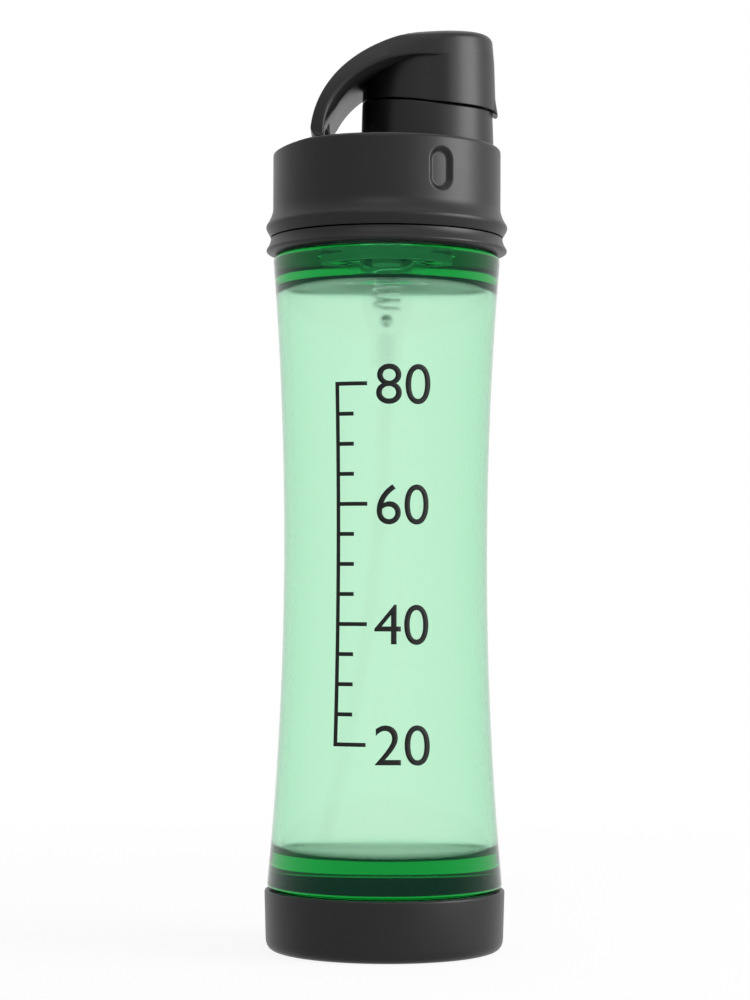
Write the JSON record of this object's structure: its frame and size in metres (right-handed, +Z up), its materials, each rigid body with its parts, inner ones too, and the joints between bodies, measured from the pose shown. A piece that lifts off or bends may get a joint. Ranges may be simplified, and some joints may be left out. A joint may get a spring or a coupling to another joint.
{
  "type": "spray bottle",
  "caption": "Waisted tinted-glass spray bottle with a black base boot and a black lid, whose hinged flip cover carries a strap and hides a press-down spray button.",
  "frame": {"origin": "centre of the foot, on the surface that the bottle stands on", "axes": "+Z up along the bottle's axis, +X towards the spout and thumb tab"},
  "size_m": [0.044, 0.044, 0.1636],
  "materials": {
    "green_glass": "clear polished glass with a green tint",
    "black_plastic": "satin black moulded plastic",
    "white_plastic": "plain natural moulded plastic",
    "clear_plastic": "translucent extruded tube",
    "rubber": "matt black sealing rubber",
    "foam": "soft grey foam",
    "aluminium": "bright rolled sheet",
    "steel": "bright spring steel"
  },
  "bodies": {
    "bottle": {"glass_bottle": "green_glass", "base_boot": "black_plastic", "base_pad": "foam", "collar_ring": "black_plastic", "collar_insert": "black_plastic", "crimp_ferrule": "aluminium", "neck_gasket": "rubber", "pump_housing": "white_plastic", "pump_turret": "white_plastic", "stem_seal": "rubber", "dip_tube": "clear_plastic", "return_spring": "steel"},
    "pump_head": {"actuator": "black_plastic", "nozzle_insert": "white_plastic", "pump_stem": "white_plastic", "pump_piston": "white_plastic"},
    "ball": {"inlet_ball": "steel"},
    "lid": {"lid_shell": "black_plastic", "lid_liner": "white_plastic", "hinge_pin": "steel"},
    "cover": {"flip_cover": "black_plastic"}
  },
  "joints": [
    {"name": "lid_lift", "type": "slide", "parent": "bottle", "child": "lid", "axis": [0, 0, 1], "range_m": [0, 0.035]},
    {"name": "cover_flip", "type": "hinge", "parent": "lid", "child": "cover", "pos_m": [-0.01203, 0, 0.1466], "axis": [0, -1, 0], "range_deg": [0, 100]},
    {"name": "spray_press", "type": "slide", "parent": "bottle", "child": "pump_head", "axis": [0, 0, -1], "range_m": [0, 0.003], "stiffness_N_per_m": 1200, "springref_m": -0.003, "deforming": ["return_spring"]},
    {"name": "ball_lift", "type": "slide", "parent": "bottle", "child": "ball", "axis": [0, 0, 1], "range_m": [0, 0.0006]}
  ]
}
